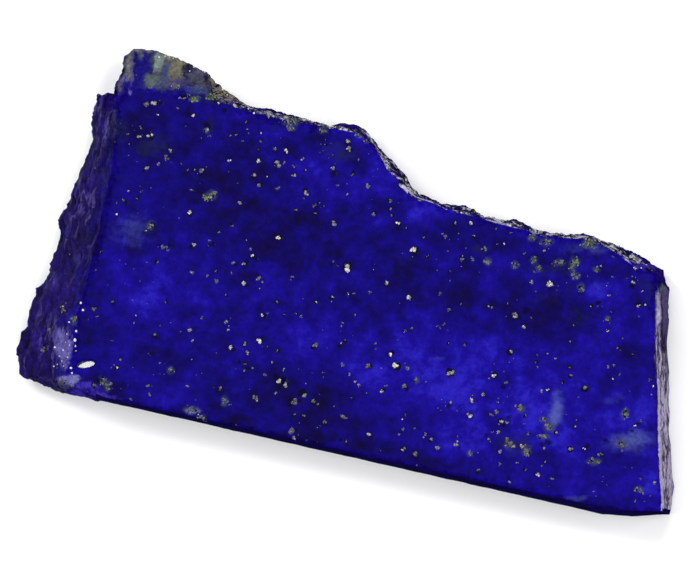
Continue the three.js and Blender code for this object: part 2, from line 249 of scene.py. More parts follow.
GREY_GRAINS = [
    (146, 104, 6), (177, 109, 4), (141, 127, 4), (128, 134, 3), (130, 144, 3), (208, 129, 4),
    (209, 136, 4), (230, 136, 3), (236, 134, 3), (243, 141, 3), (246, 122, 3), (248, 129, 3),
    (159, 164, 5), (147, 168, 5), (181, 164, 3), (188, 170, 3), (254, 176, 6), (259, 185, 5),
    (191, 190, 4), (141, 191, 4), (137, 198, 4), (123, 200, 4), (117, 203, 3), (240, 203, 5),
    (146, 231, 3), (232, 226, 4), (219, 232, 4), (261, 141, 4), (275, 149, 5), (258, 150, 3),
    (284, 163, 4), (303, 159, 5), (294, 166, 4), (306, 170, 3), (294, 175, 5), (278, 189, 6),
    (304, 198, 3), (296, 210, 4), (314, 205, 5), (319, 202, 3), (315, 214, 4), (326, 145, 4),
    (359, 160, 4), (352, 174, 5), (338, 186, 4), (368, 186, 6), (347, 194, 4), (374, 214, 5),
    (390, 201, 5), (390, 209, 4), (392, 216, 4), (406, 228, 3), (440, 294, 5), (449, 310, 5),
    (461, 304, 3), (488, 306, 4), (491, 307, 4), (532, 318, 3), (484, 249, 6), (472, 259, 5),
    (462, 260, 5), (462, 256, 3), (474, 236, 3), (442, 234, 3), (445, 237, 5), (455, 223, 4),
    (424, 238, 3), (497, 229, 4), (497, 244, 3), (511, 233, 3), (524, 253, 4), (531, 282, 5),
    (428, 256, 4), (450, 272, 3), (613, 257, 4), (632, 277, 3), (612, 277, 3), (609, 295, 4),
    (598, 306, 3), (591, 306, 3), (524, 327, 5), (571, 341, 4), (618, 349, 4), (633, 354, 3),
    (547, 354, 4), (537, 355, 3), (556, 359, 4), (210, 241, 4), (208, 246, 3), (163, 247, 5),
    (166, 247, 4), (168, 250, 4), (102, 252, 4), (157, 262, 4), (192, 272, 5), (208, 276, 4),
    (216, 271, 3), (216, 281, 5), (233, 262, 5), (232, 273, 3), (251, 249, 4), (247, 240, 3),
    (259, 279, 6), (262, 283, 4), (226, 295, 3), (62, 306, 4), (94, 309, 5), (97, 316, 4), (113, 302, 4),
    (134, 323, 3), (166, 302, 3), (202, 318, 4), (190, 330, 5), (193, 341, 4), (155, 335, 5),
    (112, 341, 3), (247, 353, 6), (245, 344, 5), (150, 354, 4), (245, 364, 4), (245, 370, 3),
    (292, 277, 4), (291, 280, 3), (334, 262, 4), (338, 265, 3), (345, 264, 4), (348, 294, 3),
    (354, 294, 4), (370, 293, 5), (332, 297, 4), (332, 301, 4), (277, 302, 4), (267, 313, 3),
    (285, 314, 3), (296, 314, 3), (301, 317, 4), (355, 315, 4), (343, 322, 4), (342, 326, 3),
    (342, 344, 4), (345, 341, 3), (375, 343, 4), (405, 331, 4), (411, 329, 5), (315, 345, 7),
    (277, 351, 4), (272, 362, 3), (408, 367, 6), (368, 366, 6), (342, 365, 5), (404, 386, 5),
    (382, 391, 5), (386, 385, 4), (437, 326, 3), (440, 327, 4), (445, 324, 4), (448, 343, 3),
    (465, 345, 4), (536, 362, 3), (537, 367, 3), (506, 383, 5), (483, 394, 5), (473, 396, 3),
    (451, 403, 4), (445, 406, 3), (498, 399, 3), (497, 403, 4), (496, 412, 5), (491, 414, 4),
    (501, 421, 5), (507, 422, 5), (499, 424, 3), (525, 415, 4), (524, 424, 3), (405, 415, 3),
    (403, 429, 4), (414, 428, 4), (570, 368, 4), (571, 376, 4), (562, 383, 3), (579, 397, 3),
    (608, 367, 4), (614, 365, 4), (650, 380, 4), (652, 395, 3), (529, 434, 5), (517, 463, 4),
    (525, 470, 3), (552, 478, 4), (545, 462, 3), (542, 466, 3), (510, 482, 4), (544, 448, 3),
    (556, 432, 4), (571, 449, 6), (599, 456, 5), (602, 454, 4), (594, 492, 3), (641, 421, 4),
    (641, 478, 4), (654, 483, 5), (636, 501, 4), (160, 363, 3), (187, 387, 5), (220, 389, 5),
    (148, 386, 5), (149, 395, 5), (94, 385, 5), (106, 380, 4), (131, 399, 4), (255, 397, 6), (257, 400, 5),
    (230, 405, 4), (276, 393, 4), (265, 375, 5), (284, 370, 4), (253, 368, 3), (294, 401, 8),
    (314, 401, 5), (318, 405, 4), (294, 415, 4), (304, 416, 4), (325, 422, 5), (346, 419, 4),
    (346, 441, 3), (294, 438, 5), (349, 374, 4), (355, 381, 4), (359, 386, 5), (334, 407, 3),
    (398, 435, 4), (426, 434, 5), (423, 437, 3), (431, 440, 5), (437, 448, 6), (403, 449, 6),
    (415, 453, 6), (492, 431, 4), (498, 432, 5), (489, 440, 5), (456, 443, 7), (500, 451, 6),
    (499, 464, 4), (478, 470, 4), (507, 441, 6), (513, 446, 5), (522, 446, 5), (528, 455, 5),
]
# Patches of fine olive crystals, as (u, v, half width, half height) in pixels.
OLIVE_PATCHES = [
    (291, 121, 9, 7), (291, 129, 5, 3), (322, 131, 5, 4), (359, 136, 4, 3), (366, 141, 3, 3),
    (533, 238, 5, 4), (547, 242, 7, 4), (534, 260, 4, 4), (515, 265, 4, 4), (538, 268, 4, 4),
    (573, 265, 4, 8), (576, 276, 5, 4), (581, 288, 4, 5), (597, 270, 4, 3), (608, 320, 3, 3),
    (594, 461, 7, 4), (470, 453, 4, 3), (509, 444, 5, 5), (526, 450, 5, 6), (416, 380, 3, 3),
    (108, 386, 4, 6), (171, 370, 4, 4), (201, 418, 5, 4), (559, 262, 6, 4), (625, 414, 4, 6),
    (621, 445, 6, 5), (639, 490, 5, 3), (212, 196, 5, 5), (151, 225, 4, 5), (549, 426, 6, 5),
    (543, 436, 7, 3), (520, 408, 4, 4), (75, 319, 4, 6), (488, 262, 4, 4), (206, 130, 3, 3),
    (191, 410, 8, 4), (224, 401, 4, 6), (543, 419, 5, 3), (62, 380, 6, 4), (103, 381, 4, 5),
    (47, 331, 3, 5), (38, 350, 3, 5), (61, 309, 4, 5),
]
# Patches of green crystals, the same way.
GREEN_PATCHES = [
    (589, 245, 8, 5), (176, 87, 4, 3), (194, 100, 6, 3), (211, 97, 7, 4), (206, 198, 4, 4),
    (577, 262, 3, 4),
]
# Pits in the polished face, painted black as shade in their hollows, as (u, v, width) in pixels: most lie
# beside a grain.
PITS = [
    (161, 103, 7), (189, 116, 6), (207, 126, 8), (144, 171, 5), (306, 190, 6), (281, 238, 5),
    (334, 174, 8), (398, 228, 6), (416, 253, 6), (526, 311, 9), (519, 317, 5), (598, 303, 4),
    (191, 248, 4), (213, 244, 6), (158, 246, 5), (170, 245, 6), (236, 265, 5), (247, 262, 6),
    (256, 259, 5), (247, 286, 5), (257, 275, 6), (234, 350, 5), (262, 338, 6), (332, 265, 4),
    (350, 264, 6), (343, 267, 5), (389, 286, 5), (265, 317, 5), (340, 346, 5), (407, 389, 5),
    (503, 387, 5), (449, 406, 5), (504, 425, 6), (509, 418, 5), (509, 478, 5), (548, 443, 7),
    (543, 444, 6), (588, 446, 6), (638, 424, 5), (632, 431, 5), (283, 381, 13), (276, 376, 8),
    (279, 388, 7), (606, 441, 5), (550, 289, 5), (579, 293, 4), (632, 287, 6), (184, 96, 10),
    (225, 110, 6), (300, 401, 5), (290, 405, 5), (296, 430, 5), (341, 440, 4), (371, 439, 4),
    (240, 362, 4), (249, 368, 4), (98, 381, 7), (126, 203, 5), (459, 447, 4), (486, 435, 4),
]
# Painted glints on the broken sides and along the rim: small crystals coloured white to stand for sparkles,
# as (u, v, width) in pixels.
GLINTS = [
    (81, 303, 3.2), (83, 310, 3), (69, 322, 2.5), (76, 331, 3.5), (75, 340, 5), (75, 346, 3.5),
    (71, 368, 3), (72, 373, 3), (56, 364, 2.5), (52, 366, 2.2), (61, 306, 2.6), (63, 366, 2),
    (62, 350, 2.5), (58, 356, 2.5), (66, 334, 2), (76, 351, 2.2), (53, 347, 2.4), (248, 109, 2.5),
    (254, 113, 2.5), (243, 107, 2), (198, 65, 2.5), (203, 71, 2), (213, 76, 2.5), (157, 56, 2.2),
    (171, 57, 2.2), (634, 268, 2.2), (599, 241, 2), (528, 229, 2), (548, 234, 2), (192, 66, 2.4),
    (188, 70, 2), (207, 73, 2), (633, 259, 3), (645, 264, 2.6), (650, 270, 2.4), (641, 268, 2),
    (219, 88, 2.4), (224, 93, 2), (163, 55, 2.4), (167, 56, 2), (67, 357, 2), (69, 345, 1.8), (64, 342, 2),
    (61, 361, 2.2),
]
# The flat chip that mirrors the key light, by the lower left end of the polished rim.
CHIP = {"u": 85.5, "v": 364.5, "half_length": 0.5, "half_width": 0.2, "turn": math.radians(9)}
CHIP_SPACING = 0.036

# A crystal's tone is its brightness up to 2. The tones past that are kinds with a colour of their own.
PLAIN_TONES_END = 2
DARK_TONE, GLINT_TONE, GREEN_TONE, OLIVE_TONE = -0.5, 3.5, 5.0, 7.0
# Each kind's marks, its dullest and brightest tone, and how far its dark bed reaches past it.
GRAIN_KINDS = (
    (BRIGHT_GRAINS, 0.65, 1.05, 0.045),
    (OLIVE_GRAINS, 0.38, 0.55, 0.02),
    (GREY_GRAINS, 0.3, 0.65, 0.04),
)
# Specks too small to place one by one: how many are tried, and the box of x and y that holds them.
SPECKS = 780
SPECK_BOX = ((-16.5, 16.5), (-8.6, 8.2))

# The lights, as azimuth and elevation in degrees, distance and size in metres, and watts. Azimuth 0
# is +X and 90 is +Y. The camera looks down, so the polished face mirrors the dark sky overhead.
LIGHTS = {
    "fill_right": (12, 48, 0.6, 0.4, 2.3),
    "fill_back": (105, 48, 0.6, 0.4, 1.85),
    "fill_left": (195, 48, 0.6, 0.4, 1.25),
    "fill_front": (285, 48, 0.6, 0.4, 1.5),
    "key": (150, 48, 0.6, 0.145, 1.3),
}
# How many times brighter than its own colour a level surface shows under these lights.
LIGHT_LEVEL = 1.47

SKY = (0.04, 0.04, 0.045, 1)

# The floor's half width, and how far it lies below the stone so that the two don't flicker.
FLOOR_HALF = 900.0
FLOOR_DROP = 0.02


# The camera


def image_axes():
    """The image's up as a direction on the face, and the direction back to the camera."""
    right = Vector((math.cos(ROLL), math.sin(ROLL), 0))
    up = Vector((-math.sin(ROLL), math.cos(ROLL), 0))
    back = math.sin(LEAN_RIGHT) * right + math.sin(LEAN_UP) * up
    back.z = math.sqrt(1 - back.length_squared)
    return up, back


FACE_UP, BACK = image_axes()
FOCAL_PIXELS = LENS / SENSOR_WIDTH * IMAGE_WIDTH
CAMERA_DISTANCE = FOCAL_PIXELS / PIXELS_PER_MM
VIEW_RIGHT = FACE_UP.cross(BACK).normalized()
VIEW_UP = BACK.cross(VIEW_RIGHT)


def face_point(u, v):
    """The place on the polished face, in mm, that shows at a pixel of the photograph."""
    eye = LOOKS_AT + BACK * CAMERA_DISTANCE
    ray = VIEW_RIGHT * (u - IMAGE_WIDTH / 2) - VIEW_UP * (v - IMAGE_HEIGHT / 2) - BACK * FOCAL_PIXELS
    hit = eye + ray * ((LOOKS_AT.z - eye.z) / ray.z)
    return Vector((hit.x, hit.y))


def pixels_of(points):
    """The pixel of the photograph where each point, in mm, shows."""
    away = points - np.array(LOOKS_AT + BACK * CAMERA_DISTANCE)
    depth = -(away @ np.array(BACK))
    across = IMAGE_WIDTH / 2 + FOCAL_PIXELS * (away @ np.array(VIEW_RIGHT)) / depth
    down = IMAGE_HEIGHT / 2 - FOCAL_PIXELS * (away @ np.array(VIEW_UP)) / depth
    return np.stack([across, down], axis=1)


def add_object(name, data):
    """Puts a new object that shows this data into the scene."""
    made = bpy.data.objects.new(name, data)
    bpy.context.scene.collection.objects.link(made)
    return made


def make_camera():
    """The camera, at its distance from the middle of the view."""
    data = bpy.data.cameras.new("camera")
    data.sensor_width, data.lens = SENSOR_WIDTH, LENS
    data.clip_start, data.clip_end = 0.01, 10
    camera = add_object("camera", data)
    turn = Matrix((VIEW_RIGHT, VIEW_UP, BACK)).transposed().to_4x4()
    camera.matrix_world = Matrix.Translation((LOOKS_AT + BACK * CAMERA_DISTANCE) * MM) @ turn
    bpy.context.scene.camera = camera


# The fine mesh of the stone


def open_walls(solid):
    """The solid's edge all round, subdivided, with both flat faces taken off, in mm."""
    bm = bmesh.new()
    bm.from_mesh(solid.data)
    bmesh.ops.scale(bm, vec=(1 / MM,) * 3, verts=bm.verts)
    bmesh.ops.remove_doubles(bm, verts=bm.verts, dist=1e-4)
    top = max(v.co.z for v in bm.verts)
    flats = [f for f in bm.faces if max(abs(v.co.z - f.verts[0].co.z) for v in f.verts) < 1e-4]
    flats = [f for f in flats if f.verts[0].co.z > top - 1e-3 or f.verts[0].co.z < 1e-3]
    bmesh.ops.delete(bm, geom=flats, context="FACES")
    bmesh.ops.subdivide_edges(bm, edges=bm.edges, cuts=WALL_CUTS, use_grid_fill=True)
    bmesh.ops.triangulate(bm, faces=bm.faces)
    return bm, top


def loop_at(bm, height):
    """The open edge's points at one height, in order."""
    edges = [e for e in bm.edges if e.is_boundary and abs(e.verts[0].co.z - height) < 1e-3]
    start = edges[0].verts[0]
    loop, last, here = [start], edges[0], edges[0].other_vert(start)
    while here is not start:
        loop.append(here)
        last = next(e for e in here.link_edges if e.is_boundary and e is not last)
        here = last.other_vert(here)
    return loop


def inside(points, outline):
    """Which points lie inside the outline, by counting crossings to the right."""
    hits = np.zeros(len(points), dtype=int)
    for a, b in zip(outline, np.roll(outline, -1, axis=0)):
        crosses = (a[1] > points[:, 1]) != (b[1] > points[:, 1])
        rise = b[1] - a[1] if b[1] != a[1] else 1e-12
        at = a[0] + (points[:, 1] - a[1]) / rise * (b[0] - a[0])
        hits += crosses & (points[:, 0] < at)
    return hits % 2 == 1


def scattered(outline, spacing, rng):
    """A jittered grid of points inside the outline."""
    low, high = outline.min(0), outline.max(0)
    xs = np.arange(low[0], high[0], spacing)
    ys = np.arange(low[1], high[1], spacing * math.sqrt(3) / 2)
    grid = np.array([(x + (row % 2) * spacing / 2, y) for row, y in enumerate(ys) for x in xs])
    grid += rng.uniform(-0.22, 0.22, grid.shape) * spacing
    return grid[inside(grid, outline)]


def extra_points():
    """Extra points in and round each pit, and closely over the chip."""
    points = list(chip_points())
    for u, v, width in PITS:
        middle = face_point(u, v)
        points.append(tuple(middle))
        for share, count in ((0.35, 6), (0.7, 10), (1.0, 12), (1.35, 14)):
            radius = share * width / 2 / PIXELS_PER_MM
            for k in range(count):
                angle = 2 * math.pi * (k + share) / count
                points.append((middle.x + radius * math.cos(angle), middle.y + radius * math.sin(angle)))
    return np.array(points)


def chip_axes():
    """The chip's middle in plan, and its directions along and across."""
    turn = ROLL + CHIP["turn"]
    along = np.array((math.cos(turn), math.sin(turn)))
    return np.array(face_point(CHIP["u"], CHIP["v"])), along, np.array((-along[1], along[0]))


def chip_points():
    """A close grid of points over the chip and just round it."""
    middle, along, across = chip_axes()
    steps = int(1.3 * CHIP["half_length"] / CHIP_SPACING)
    for i in range(-steps, steps + 1):
        for j in range(-steps, steps + 1):
            x, y = i * CHIP_SPACING, j * CHIP_SPACING
            if (x / CHIP["half_length"]) ** 2 + (y / CHIP["half_width"]) ** 2 < 1.7:
                yield tuple(middle + x * along + y * across)


def search_tree(places):
    """A tree that finds the nearest of these places."""
    tree = kdtree.KDTree(len(places))
    for i, place in enumerate(places):
        tree.insert(place, i)
    tree.balance()
    return tree


def apart(points, others, distance):
    """The points that lie farther than this from all the others, in plan."""
    tree = search_tree([(x, y, 0) for x, y in others])
    return np.array([p for p in points if tree.find((p[0], p[1], 0))[2] > distance])


def fill(bm, loop, height, spacing, rng, extra=None):
    """Closes the open edge at one height with small triangles."""
    outline = np.array([v.co.xy for v in loop])
    points = scattered(outline, spacing, rng)
    if extra is not None:
        extra = extra[inside(extra, outline)]
        points = np.vstack([apart(points, extra, 0.5 * spacing), extra])
    points = apart(points, outline, 0.5 * spacing)
    flat = [Vector(p) for p in outline] + [Vector(p) for p in points]
    count = len(loop)
    edges = [(i, (i + 1) % count) for i in range(count)]
    coords, _, faces, sources, _, _ = delaunay_2d_cdt(flat, edges, [], 1, 1e-7)
    verts = []
    for co, source in zip(coords, sources):
        ring = [s for s in source if s < count]
        verts.append(loop[ring[0]] if ring else bm.verts.new((co.x, co.y, height)))
    for face in faces:
        corners = [verts[i] for i in (face if height > 0 else reversed(face))]
        if len(set(corners)) == 3 and bm.faces.get(corners) is None:
            bm.faces.new(corners)


def fine_stone(solid):
    """The whole stone as one closed fine mesh, in mm."""
    rng = np.random.default_rng(SEED)
    bm, top = open_walls(solid)
    fill(bm, loop_at(bm, top), top, FACE_SPACING, rng, extra_points())
    fill(bm, loop_at(bm, 0), 0, BACK_SPACING, rng)
    bm.normal_update()
    return bm, top


# Shaping the stone


def smooth_step(low, high, x):
    """0 up to low and 1 from high on, with a smooth rise between them."""
    t = np.clip((x - low) / (high - low), 0, 1)
    return t * t * (3 - 2 * t)


def sample(points, scale, seed=0.0, stretch=(1, 1, 1)):
    """Smooth noise from -1 to 1 at each point, with scale features to a millimetre."""
    shift = Vector((seed * 3.1, seed * 1.7, seed * 5.3))
    factors = [scale * s for s in stretch]
    return np.array([
        noise.noise(Vector((p[0] * factors[0], p[1] * factors[1], p[2] * factors[2])) + shift)
        for p in points
    ])


def facets(points, scale, seed, stretch=(1, 1, 1)):
    """Flat broken facets: each cell is a plane tilted its own way, at scale cells to a millimetre."""
    heights = []
    shift = Vector((seed, seed * 2.3, seed * 0.7))
    for p in points:
        at = Vector((p[0] * stretch[0], p[1] * stretch[1], p[2] * stretch[2])) * scale + shift
        middle = noise.voronoi(at)[1][0]
        tilt = noise.cell_vector(middle * 9.1) - Vector((0.5, 0.5, 0.5))
        heights.append((at - middle).dot(tilt))
    return np.array(heights)


def rim_distance(points, bm, top):
    """How far each point lies from the polished face's rim, in plan."""
    loop = [v.co.copy() for v in bm.verts if abs(v.co.z - top) < 1e-4 and any(
        f.normal.z < 0.98 for f in v.link_faces)]
    tree = search_tree(loop)
    return np.array([tree.find(Vector(p))[2] for p in points])


def ridged(points, scale, seed):
    """Sharp ridges that run along the streaks: 0.5 on a ridge, and falling off to both sides of it."""
    return 0.5 - 2.4 * np.abs(sample(points, scale, seed, STREAKS))


def shape_walls(start, normals, wall, from_rim, sawn, left):
    """The broken edges' new places, and how high on a ridge each of their points lies."""
    index = np.flatnonzero(wall)
    here = start[index]
    layers = {
        "facets": facets(here, 1.1, 3.0, STREAKS),
        "small facets": facets(here, 2.9, 8.0, STREAKS),
        "ridges": ridged(here, 1.5, 2.0),
        "small ridges": ridged(here, 4.0, 17.0),
        "grit": sample(here, 8.0, 5.0),
    }
    relief = sum(RELIEF[name][0] * layer for name, layer in layers.items())
    relief *= (1 - 0.93 * sawn[index]) * (0.75 + 0.45 * left[index])
    fade = smooth_step(0, RIM_REACH, from_rim[index]) * smooth_step(0, 0.25, here[:, 2])
    moved = start.copy()
    moved[index] += normals[index] * (relief * (0.3 + 0.7 * fade))[:, None]
    crest = np.zeros(len(start))
    crest[index] = sum(RELIEF[name][1] * layer for name, layer in layers.items())
    return moved, crest


def nick_rim(moved, start, from_rim, top):
    """Breaks the polished face's rim: nicks on the broken sides, a slight worn edge on the sawn ones."""
    near = np.flatnonzero(from_rim < 2 * RIM_REACH)
    here = start[near]
    broken = 1 - 0.8 * sawn_side(here)
    nick = 0.55 * sample(here, 1.3, 11.0) + 0.5 * sample(here, 3.6, 13.0) + 0.3 * sample(here, 8.0, 19.0)
    drop = 0.012 + 0.3 * np.clip(nick - 0.02, 0, 1) * broken
    reach = 0.05 + 1.5 * drop
    ceiling = top - drop * np.clip(1 - from_rim[near] / reach, 0, 1)
    moved[near, 2] = np.minimum(moved[near, 2], ceiling)


def sink_pits(moved, start, faces):
    """Sinks the pits a little, and returns how deep in a pit each point lies, from 0 to 1."""
    depth = np.zeros(len(start))
    flat = start[faces]
    warp = np.stack([sample(flat, 6.0, 41.0), sample(flat, 6.0, 43.0)], axis=1) * PIT_BEND
    for u, v, width in PITS:
        radius = 0.5 * width / PIXELS_PER_MM
        away = np.linalg.norm(flat[:, :2] + warp - np.array(face_point(u, v)), axis=1) / radius
        moved[faces, 2] -= PIT_DEPTH * radius * np.clip(1 - away**2, 0, 1)
        depth[faces] = np.maximum(depth[faces], np.exp(-0.7 * away**3))
    return depth


def direction(azimuth, elevation):
    """The unit vector toward an azimuth and an elevation in degrees, azimuth 0 at +X and 90 at +Y."""
    a, e = math.radians(azimuth), math.radians(elevation)
    return Vector((math.cos(a) * math.cos(e), math.sin(a) * math.cos(e), math.sin(e)))


def cut_chip(moved, start, on_face):
    """Cuts the flat chip, tilted so that the camera sees the key light in it. Returns where it is."""
    middle, along, across = chip_axes()
    normal = (direction(*LIGHTS["key"][:2]) + BACK).normalized()
    away = start[:, :2] - middle
    edge = CHIP["half_width"] * (1 + 0.1 * sample(start, 3.0, 51.0))
    round_off = np.sqrt((away @ along / CHIP["half_length"]) ** 2 + (away @ across / edge) ** 2)
    inside_chip = smooth_step(1.12, 0.94, round_off) * on_face
    slope = np.array((-normal.x, -normal.y)) / normal.z
    lowest = -CHIP["half_width"] * abs(slope @ across) - 0.7 * CHIP["half_length"] * abs(slope @ along)
    plane = np.minimum(away @ slope + lowest, -0.004)
    moved[:, 2] += inside_chip * plane
    return inside_chip


def shape_stone(bm, top):
    """Gives the mesh its broken edges, nicks, pits and chip. Returns the points' places and weights."""
    bm.verts.ensure_lookup_table()
    start = np.array([v.co for v in bm.verts])
    normals = np.array([v.normal for v in bm.verts])
    from_rim = rim_distance(start, bm, top)
    on_face = start[:, 2] > top - 1e-4
    on_back = start[:, 2] < 1e-4

    end_part, edge_part = start[:, 1] < SAWN_END_TOP_Y, start[:, 0] > SAWN_EDGE_LEFT_X
    sawn_end = smooth_step(0, 0.5, start[:, 0] - SAWN_END_X) * end_part * ~on_face
    sawn_edge = smooth_step(0.6, 0.1, start[:, 1] - SAWN_EDGE_Y) * edge_part * ~on_face
    sawn = np.maximum(sawn_edge, sawn_end)
    left = smooth_step(0.2, -0.8, start[:, 0] - LEFT_FRACTURE_X) * ~on_face

    moved, crest = shape_walls(start, normals, ~(on_face | on_back), from_rim, sawn, left)
    nick_rim(moved, start, from_rim, top)
    pit = sink_pits(moved, start, np.flatnonzero(on_face))
    chip = cut_chip(moved, start, on_face)
    moved[:, 2] = np.clip(moved[:, 2], 0, top)
    moved[on_back, 2] = 0
    for v, co in zip(bm.verts, moved):
        v.co = co
    polish = on_face * (moved[:, 2] > top - POLISH_DEPTH) * (chip < CHIP_EDGE)
    fading = smooth_step(1.3, 0.1, from_rim + 0.7 * sample(start, 1.4, 61.0)) * (1 - sawn) * ~on_back
    return moved, {
        "polish": np.maximum(polish, chip > CHIP_FLOOR),
        "blue": np.maximum(fading, on_face),
        "sawn": np.maximum(sawn_edge, on_back),
        "left": left * (start[:, 1] < HORN_FOOT_Y),
        "crest": crest,
        "pit": pit,
        "chip": chip,
    }


def sawn_side(points):
    """1 beside the two sawn edges and 0 beside the broken ones."""
    low = (points[:, 1] < SAWN_EDGE_Y + 0.6) & (points[:, 0] > SAWN_EDGE_LEFT_X)
    end = (points[:, 0] > SAWN_END_X - 0.2) & (points[:, 1] < SAWN_END_TOP_Y)
    return (low | end).astype(float)


# The weights that the material turns into colour


def mark_weight(marks, pixels, power=2):
    """The strongest mark at each point, falling off past its edge. A higher power gives squarer marks."""
    weight = np.zeros(len(pixels))
    for u, v, half_width, half_height, strength in marks:
        away = np.abs((pixels - (u, v)) / (half_width, half_height))
        weight = np.maximum(weight, strength * np.exp(-0.7 * (away**power).sum(1)))
    return weight


def line_weight(lines, pixels):
    """The strongest line at each point, falling off to both sides of it."""
    weight = np.zeros(len(pixels))
    for half_width, strength, points in lines:
        for start, end in zip(points, points[1:]):
            along = np.subtract(end, start)
            share = np.clip((pixels - start) @ along / (along @ along), 0, 1)
            away = np.linalg.norm(pixels - start - share[:, None] * along, axis=1)
            weight = np.maximum(weight, strength * np.exp(-0.7 * (away / half_width) ** 2))
    return weight


def noise_pair(points, scale, seed):
    """Two unlike noises from -1 to 1 at each point, side by side."""
    return np.stack([sample(points, scale, seed), sample(points, scale, seed + 10)], axis=1)


def mark_weights(points):
    """One weight for each kind of mark, with the marks' edges bent by noise."""
    pixels = pixels_of(points)
    bend = sum(reach * noise_pair(points, scale, 21.0) for scale, reach in BENDS)
    ragged = 0.4 * bend + 3.0 * noise_pair(points, 3.2, 23.0)
    front = smooth_step(0.0, 0.4, points[:, 2] + 0.25 * sample(points, 2.0, 35.0) * (points[:, 2] > 0.02))
    weights = {name: mark_weight(marks, pixels + bend) for name, marks in MARKS.items()}
    for name, marks in EDGE_MARKS.items():
        weights[name] = mark_weight(marks, pixels + ragged, power=2.3)
    for name, lines in RIM_LINES.items():
        weights[name] = line_weight(lines, pixels + 0.15 * bend)
    beds = [(u, v, BED_SHARE * width, BED_SHARE * width, 0.9) for u, v, width in BRIGHT_GRAINS]
    beds += [(u, v, BED_SHARE * width, BED_SHARE * width, 0.6) for u, v, width in GREY_GRAINS if width > 3]
    weights["bed"] = mark_weight(beds, pixels + 0.2 * bend)
    for name, patches in (("olive", OLIVE_PATCHES), ("green", GREEN_PATCHES)):
        marks = [(*patch, 1.0) for patch in patches]
        weights[name] = mark_weight(marks, pixels + 0.25 * bend)
    return {name: front * weight for name, weight in weights.items()}


def give_materials(mesh, weights):
    """The polished face, the glossy fracture, the dull outside of the rough, and the sawn sides."""
    polished, fractured, outer, sawn = range(4)
    mesh.materials.append(polished_material())
    mesh.materials.append(broken_material("fractured_lapis", 0.04))
    mesh.materials.append(broken_material("outer_lapis", 0.0))
    mesh.materials.append(sawn_material())
    corners = np.empty(len(mesh.loops), dtype=np.int32)
    mesh.loops.foreach_get("vertex_index", corners)
    corners = corners.reshape(-1, 3)
    normals = np.empty(3 * len(mesh.vertices), dtype=np.float32)
    mesh.vertices.foreach_get("normal", normals)
    level = (normals[2::3] > LEVEL_NORMAL) | (weights["pit"] > PIT_EDGE) | (weights["chip"] > CHIP_FLOOR)
    slots = np.full(len(mesh.polygons), outer, dtype=np.int32)
    slots[weights["left"][corners].mean(1) > 0.5] = fractured
    slots[weights["sawn"][corners].mean(1) > 0.5] = sawn
    slots[(weights["polish"] * level)[corners].min(1) > 0.5] = polished
    mesh.polygons.foreach_set("material_index", slots)


def make_stone(solid):
    """The stone as an object, and the height of its polished face."""
    bm, top = fine_stone(solid)
    shaped, weights = shape_stone(bm, top)
    weights.update(mark_weights(shaped))
    bmesh.ops.scale(bm, vec=(MM,) * 3, verts=bm.verts)
    mesh = bpy.data.meshes.new("lapis_stone")
    bm.to_mesh(mesh)
    bm.free()
    for name, weight in weights.items():
        mesh.attributes.new(name, "FLOAT", "POINT").data.foreach_set("value", weight.astype(np.float32))
    mesh.polygons.foreach_set("use_smooth", [True] * len(mesh.polygons))
    give_materials(mesh, weights)
    return add_object("lapis_stone", mesh), top
